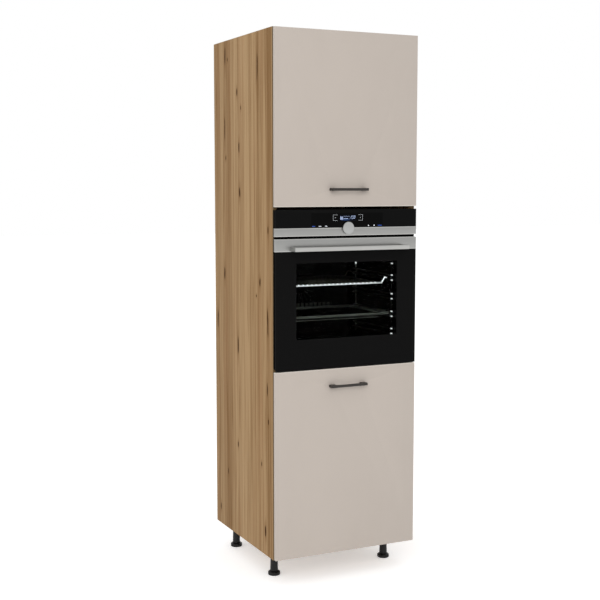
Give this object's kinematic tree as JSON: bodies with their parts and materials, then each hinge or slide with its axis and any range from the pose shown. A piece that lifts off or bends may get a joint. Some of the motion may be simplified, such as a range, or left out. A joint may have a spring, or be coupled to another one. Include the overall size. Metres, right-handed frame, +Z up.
{
  "type": "tall oven housing unit",
  "caption": "Tall kitchen cabinet housing a built-in oven, with a lift-up flap above, a pull-out below and adjustable legs.",
  "frame": {"origin": "on the floor, under the middle of the unit's bounding box", "axes": "+Z up, -Y towards the front of the unit, +X to the right as seen from the front"},
  "size_m": [0.6, 0.649, 2.07],
  "materials": {
    "oak_board": "oak-grain laminate, satin",
    "hardboard": "thin pale hardboard",
    "front_board": "matte beige lacquer on board",
    "drawer_board": "pale grey laminate",
    "zinc_steel": "zinc-plated",
    "black_plastic": "moulded, fine grain",
    "black_handle": "black powder coat",
    "enamel": "dark vitreous enamel",
    "seal_rubber": "woven heat seal",
    "heater_steel": "heat-darkened steel",
    "motor_metal": "cast",
    "lamp_glass": "frosted",
    "chrome_wire": "polished wire",
    "fascia_glass": "back-printed black glass",
    "stainless": "brushed along its length",
    "knob_metal": "satin turned metal",
    "display_panel": "dark display with a plain glow",
    "door_glass": "black glass, clear window",
    "inner_glass": "clear",
    "door_frame_steel": "black",
    "strut_black": "black painted tube",
    "strut_rod_steel": "ground rod"
  },
  "bodies": {
    "carcass": {"side_left": "oak_board", "side_right": "oak_board", "bottom_panel": "oak_board", "oven_shelf": "oak_board", "upper_deck": "oak_board", "top_panel": "oak_board", "back_lower": "hardboard", "back_upper": "hardboard", "rear_rail": "oak_board", "inner_shelf": "oak_board", "shelf_pins": "zinc_steel", "cam_fittings": "zinc_steel", "leg_sockets": "black_plastic", "flap_hinge_arms": "zinc_steel", "strut_wall_brackets": "zinc_steel", "cabinet_rails": "zinc_steel", "oven_casing": "zinc_steel", "oven_cavity": "enamel", "oven_front_frame": "enamel", "door_gasket": "seal_rubber", "fan_cover": "enamel", "ring_heater": "heater_steel", "grill_element": "heater_steel", "fan_motor": "motor_metal", "oven_lamp": "lamp_glass", "side_racks": "chrome_wire", "control_housing": "black_plastic", "control_fascia": "fascia_glass", "control_strip": "stainless", "display": "display_panel", "door_hinge_arms": "zinc_steel"},
    "flap": {"upper_front": "front_board", "upper_handle": "black_handle", "flap_hinge_cups": "zinc_steel", "strut_door_brackets": "zinc_steel"},
    "drawer": {"lower_front": "front_board", "lower_handle": "black_handle", "drawer_sides": "drawer_board", "drawer_back": "drawer_board", "drawer_bottom": "drawer_board", "drawer_rails": "zinc_steel"},
    "runner_mid_left": {"runner_mid_left": "zinc_steel"},
    "runner_mid_right": {"runner_mid_right": "zinc_steel"},
    "oven_door": {"door_outer_glass": "door_glass", "door_inner_glass": "inner_glass", "door_trim": "stainless", "door_frame": "door_frame_steel", "oven_handle": "stainless"},
    "control_knob": {"control_knob": "knob_metal"},
    "convection_fan": {"convection_fan": "heater_steel"},
    "wire_shelf": {"wire_shelf": "chrome_wire"},
    "baking_tray": {"baking_tray": "enamel"},
    "foot_front_left": {"foot_front_left": "black_plastic"},
    "foot_front_right": {"foot_front_right": "black_plastic"},
    "foot_back_left": {"foot_back_left": "black_plastic"},
    "foot_back_right": {"foot_back_right": "black_plastic"},
    "strut_cylinder_left": {"strut_cylinder_left": "strut_black"},
    "strut_cylinder_right": {"strut_cylinder_right": "strut_black"},
    "strut_rod_left": {"strut_rod_left": "strut_rod_steel"},
    "strut_rod_right": {"strut_rod_right": "strut_rod_steel"}
  },
  "joints": [
    {"name": "flap_hinge", "type": "hinge", "parent": "carcass", "child": "flap", "pos_m": [0, -0.2675, 2.0607], "axis": [-1, 0, 0], "range_deg": [0, 90]},
    {"name": "drawer_slide", "type": "slide", "parent": "carcass", "child": "drawer", "axis": [0, -1, 0], "range_m": [0, 0.5]},
    {"name": "oven_door_hinge", "type": "hinge", "parent": "carcass", "child": "oven_door", "pos_m": [0, -0.2685, 0.8302], "axis": [1, 0, 0], "range_deg": [0, 90], "stiffness_Nm_per_rad": 8, "springref_deg": -17.19},
    {"name": "knob_turn", "type": "hinge", "parent": "carcass", "child": "control_knob", "pos_m": [0, -0.2765, 1.344], "axis": [0, -1, 0], "continuous": true},
    {"name": "fan_spin", "type": "hinge", "parent": "carcass", "child": "convection_fan", "pos_m": [0, 0.1345, 1.085], "axis": [0, -1, 0], "continuous": true},
    {"name": "wire_shelf_slide", "type": "slide", "parent": "carcass", "child": "wire_shelf", "axis": [0, -1, 0], "range_m": [0, 0.05]},
    {"name": "baking_tray_slide", "type": "slide", "parent": "carcass", "child": "baking_tray", "axis": [0, -1, 0], "range_m": [0, 0.045]},
    {"name": "strut_cylinder_left_pivot", "type": "hinge", "parent": "carcass", "child": "strut_cylinder_left", "pos_m": [-0.27, -0.09124, 2.02421], "axis": [-1, 0, 0], "range_deg": [0, 45]},
    {"name": "strut_rod_left_pivot", "type": "hinge", "parent": "flap", "child": "strut_rod_left", "pos_m": [-0.27, -0.2415, 1.88259], "axis": [-1, 0, 0], "range_deg": [-45, 0]},
    {"name": "runner_left_slide", "type": "slide", "parent": "carcass", "child": "runner_mid_left", "axis": [0, -1, 0], "range_m": [0, 0.25]},
    {"name": "strut_cylinder_right_pivot", "type": "hinge", "parent": "carcass", "child": "strut_cylinder_right", "pos_m": [0.27, -0.09124, 2.02421], "axis": [-1, 0, 0], "range_deg": [0, 45]},
    {"name": "strut_rod_right_pivot", "type": "hinge", "parent": "flap", "child": "strut_rod_right", "pos_m": [0.27, -0.2415, 1.88259], "axis": [-1, 0, 0], "range_deg": [-45, 0]},
    {"name": "runner_right_slide", "type": "slide", "parent": "carcass", "child": "runner_mid_right", "axis": [0, -1, 0], "range_m": [0, 0.25]},
    {"name": "foot_front_left_adjust", "type": "slide", "parent": "carcass", "child": "foot_front_left", "axis": [0, 0, -1], "range_m": [0, 0.02]},
    {"name": "foot_front_right_adjust", "type": "slide", "parent": "carcass", "child": "foot_front_right", "axis": [0, 0, -1], "range_m": [0, 0.02]},
    {"name": "foot_back_left_adjust", "type": "slide", "parent": "carcass", "child": "foot_back_left", "axis": [0, 0, -1], "range_m": [0, 0.02]},
    {"name": "foot_back_right_adjust", "type": "slide", "parent": "carcass", "child": "foot_back_right", "axis": [0, 0, -1], "range_m": [0, 0.02]}
  ],
  "couplings": [
    {"joint": "strut_cylinder_left_pivot", "follows": "flap_hinge", "ratio": 0.5},
    {"joint": "strut_rod_left_pivot", "follows": "flap_hinge", "ratio": -0.5},
    {"joint": "runner_left_slide", "follows": "drawer_slide", "ratio": 0.5},
    {"joint": "strut_cylinder_right_pivot", "follows": "flap_hinge", "ratio": 0.5},
    {"joint": "strut_rod_right_pivot", "follows": "flap_hinge", "ratio": -0.5},
    {"joint": "runner_right_slide", "follows": "drawer_slide", "ratio": 0.5}
  ]
}
